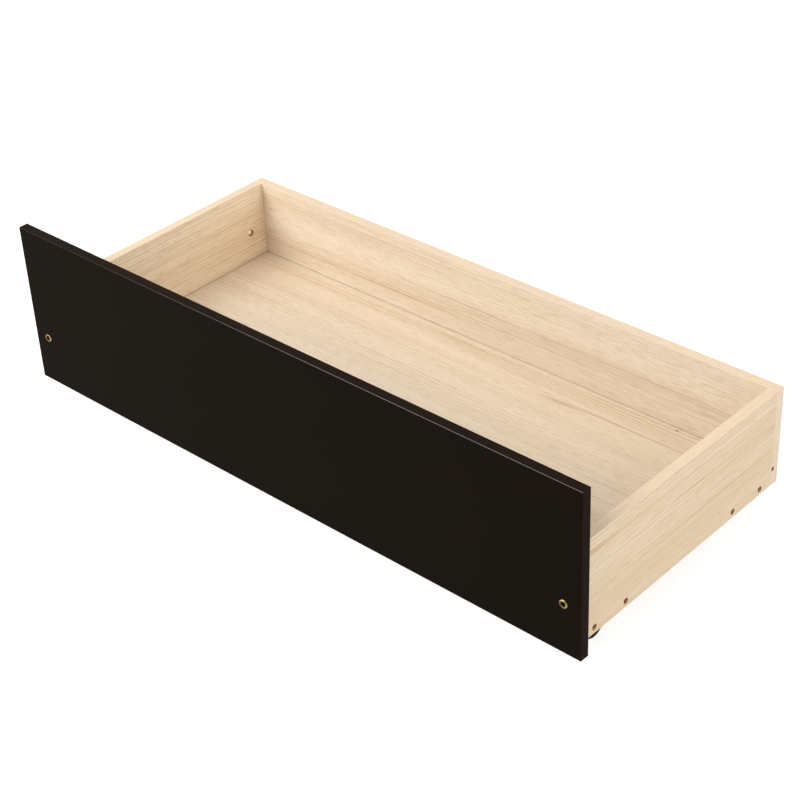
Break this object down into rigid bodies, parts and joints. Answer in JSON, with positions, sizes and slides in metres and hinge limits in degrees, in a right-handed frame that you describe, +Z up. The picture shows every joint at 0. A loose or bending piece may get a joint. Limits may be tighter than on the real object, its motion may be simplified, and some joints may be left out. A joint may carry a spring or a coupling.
{
  "type": "under-bed drawer",
  "caption": "Open rectangular storage drawer on fixed casters, with a dark front panel wider and taller than the light wood-grain box behind it.",
  "frame": {"origin": "on the ground under the middle of the drawer's width and depth", "axes": "+X to the drawer's right end as seen from the front, +Y from the front panel to the back panel, +Z up"},
  "size_m": [1, 0.452, 0.289],
  "materials": {
    "espresso_laminate": "dark espresso laminate on board, satin, no visible grain",
    "ash_laminate": "light ash-grain melamine paper on board, satin",
    "rail_board": "light wood-grain melamine paper on board, satin",
    "birch_dowel": "bare turned birch",
    "brass_plated_steel": "yellow plated, worn satin",
    "nickel_plated_steel": "nickel plated, bright",
    "bronzed_steel": "copper-brown bronzed",
    "zinc_plated_steel": "clear zinc plated, satin",
    "black_polypropylene": "moulded, satin"
  },
  "bodies": {
    "drawer": {"front_panel": "espresso_laminate", "back_panel": "ash_laminate", "left_side_panel": "ash_laminate", "right_side_panel": "ash_laminate", "floor_panel": "ash_laminate", "front_cross_rail": "rail_board", "rear_cross_rail": "rail_board", "connector_bolt_front_left": "brass_plated_steel", "connector_bolt_front_right": "brass_plated_steel", "connector_bolt_rear_left": "brass_plated_steel", "connector_bolt_rear_right": "brass_plated_steel", "barrel_nut_front_left": "nickel_plated_steel", "barrel_nut_front_right": "nickel_plated_steel", "barrel_nut_rear_left": "nickel_plated_steel", "barrel_nut_rear_right": "nickel_plated_steel", "dowel_front_left_lower": "birch_dowel", "dowel_front_left_upper": "birch_dowel", "dowel_front_right_lower": "birch_dowel", "dowel_front_right_upper": "birch_dowel", "dowel_rear_left_lower": "birch_dowel", "dowel_rear_left_upper": "birch_dowel", "dowel_rear_right_lower": "birch_dowel", "dowel_rear_right_upper": "birch_dowel", "rail_screw_left_1": "bronzed_steel", "rail_screw_left_2": "bronzed_steel", "rail_screw_left_3": "bronzed_steel", "rail_screw_left_4": "bronzed_steel", "rail_screw_right_1": "bronzed_steel", "rail_screw_right_2": "bronzed_steel", "rail_screw_right_3": "bronzed_steel", "rail_screw_right_4": "bronzed_steel", "caster_bracket_front_left": "zinc_plated_steel", "caster_axle_front_left": "nickel_plated_steel", "caster_screw_front_left_1": "zinc_plated_steel", "caster_screw_front_left_2": "zinc_plated_steel", "caster_screw_front_left_3": "zinc_plated_steel", "caster_screw_front_left_4": "zinc_plated_steel", "caster_bracket_front_right": "zinc_plated_steel", "caster_axle_front_right": "nickel_plated_steel", "caster_screw_front_right_1": "zinc_plated_steel", "caster_screw_front_right_2": "zinc_plated_steel", "caster_screw_front_right_3": "zinc_plated_steel", "caster_screw_front_right_4": "zinc_plated_steel", "caster_bracket_rear_left": "zinc_plated_steel", "caster_axle_rear_left": "nickel_plated_steel", "caster_screw_rear_left_1": "zinc_plated_steel", "caster_screw_rear_left_2": "zinc_plated_steel", "caster_screw_rear_left_3": "zinc_plated_steel", "caster_screw_rear_left_4": "zinc_plated_steel", "caster_bracket_rear_right": "zinc_plated_steel", "caster_axle_rear_right": "nickel_plated_steel", "caster_screw_rear_right_1": "zinc_plated_steel", "caster_screw_rear_right_2": "zinc_plated_steel", "caster_screw_rear_right_3": "zinc_plated_steel", "caster_screw_rear_right_4": "zinc_plated_steel"},
    "wheel_front_left": {"caster_wheel_front_left": "black_polypropylene"},
    "wheel_front_right": {"caster_wheel_front_right": "black_polypropylene"},
    "wheel_rear_left": {"caster_wheel_rear_left": "black_polypropylene"},
    "wheel_rear_right": {"caster_wheel_rear_right": "black_polypropylene"}
  },
  "joints": [
    {"name": "front_left_wheel_roll", "type": "hinge", "parent": "drawer", "child": "wheel_front_left", "pos_m": [-0.451, -0.142, 0.01891], "axis": [1, 0, 0], "continuous": true},
    {"name": "front_right_wheel_roll", "type": "hinge", "parent": "drawer", "child": "wheel_front_right", "pos_m": [0.451, -0.142, 0.01891], "axis": [1, 0, 0], "continuous": true},
    {"name": "rear_left_wheel_roll", "type": "hinge", "parent": "drawer", "child": "wheel_rear_left", "pos_m": [-0.44, 0.152, 0.01891], "axis": [1, 0, 0], "continuous": true},
    {"name": "rear_right_wheel_roll", "type": "hinge", "parent": "drawer", "child": "wheel_rear_right", "pos_m": [0.44, 0.152, 0.01891], "axis": [1, 0, 0], "continuous": true}
  ]
}
